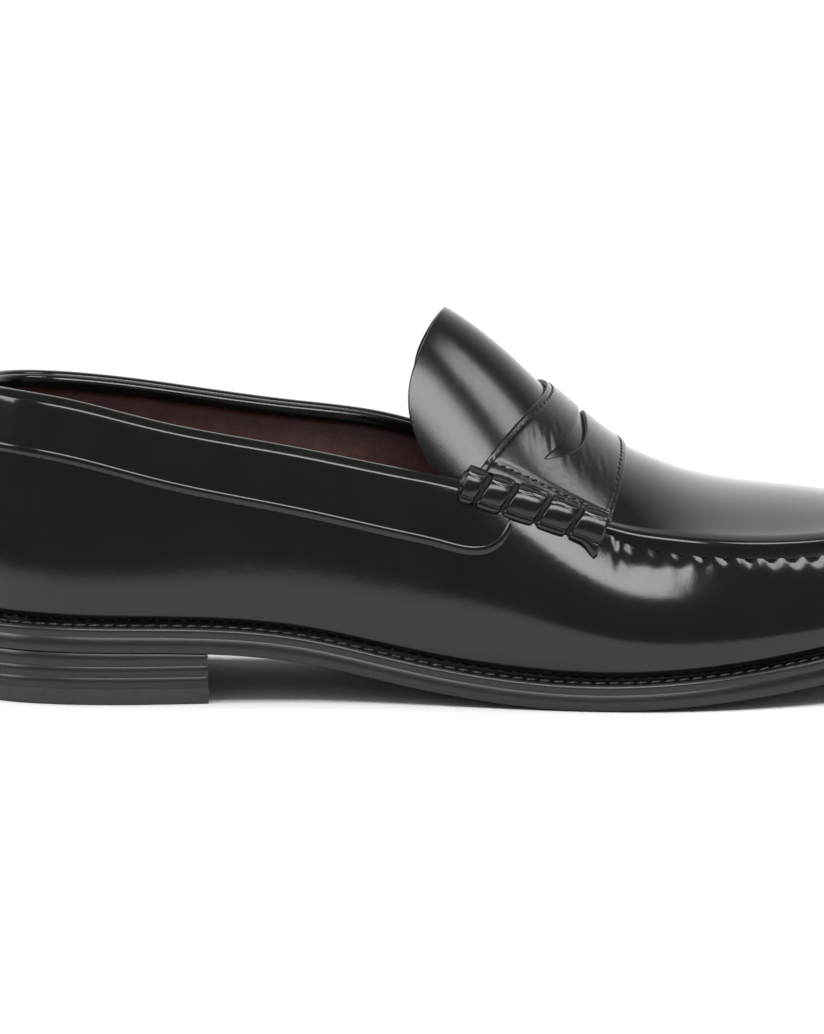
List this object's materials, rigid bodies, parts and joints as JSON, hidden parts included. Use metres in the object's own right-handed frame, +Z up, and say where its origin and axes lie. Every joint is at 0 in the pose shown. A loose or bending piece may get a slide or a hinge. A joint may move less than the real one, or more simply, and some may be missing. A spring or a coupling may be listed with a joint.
{
  "type": "penny loafer",
  "caption": "Slip-on shoe with a moccasin seam, a saddle strap with a slot between two bound rolls, a welted leather sole and a stacked heel.",
  "frame": {"origin": "on the floor, under the middle of the outsole's length and width", "axes": "+X from heel to toe, +Y towards the inner (big toe) side, +Z up"},
  "size_m": [0.3002, 0.1062, 0.1093],
  "materials": {
    "upper_leather": "black box calf, polished",
    "lining_leather": "dark red-brown glazed kid, matt inside",
    "welt_leather": "black welting leather, waxed",
    "sole_leather": "oak-bark leather, edge inked black and ironed",
    "heel_leather": "stacked leather lifts, edge inked black",
    "heel_rubber": "moulded black rubber, satin",
    "thread": "waxed black thread",
    "nail_steel": "steel, dull",
    "shank_steel": "blued spring steel",
    "cork": "ground cork and latex",
    "leather_board": "pressed leather board",
    "insole_leather": "natural shoulder leather",
    "pad_foam": "latex foam"
  },
  "bodies": {
    "root": {"outsole": "sole_leather", "welt": "welt_leather", "welt_stitching": "thread", "heel_top_piece": "heel_rubber", "heel_lift_1": "heel_leather", "heel_lift_2": "heel_leather", "heel_lift_3": "heel_leather", "heel_nails": "nail_steel", "shank": "shank_steel", "heel_seat_filler": "leather_board", "cork_filler": "cork", "insole": "insole_leather", "heel_pad": "pad_foam", "sock_liner": "lining_leather", "moccasin_wall": "upper_leather", "collar_band": "upper_leather", "collar_stitching": "thread", "collar_binding": "upper_leather", "back_strip": "upper_leather", "heel_counter": "leather_board", "toe_puff": "leather_board", "quarter_lining": "lining_leather", "vamp_lining": "lining_leather", "apron": "upper_leather", "apron_stitching": "thread", "tongue": "upper_leather", "tongue_lining": "lining_leather", "saddle_strap": "upper_leather", "strap_backing": "upper_leather", "strap_stitching": "thread", "beef_roll_lateral": "upper_leather", "beef_roll_medial": "upper_leather", "roll_binding_lateral": "thread", "roll_binding_medial": "thread"}
  },
  "joints": []
}
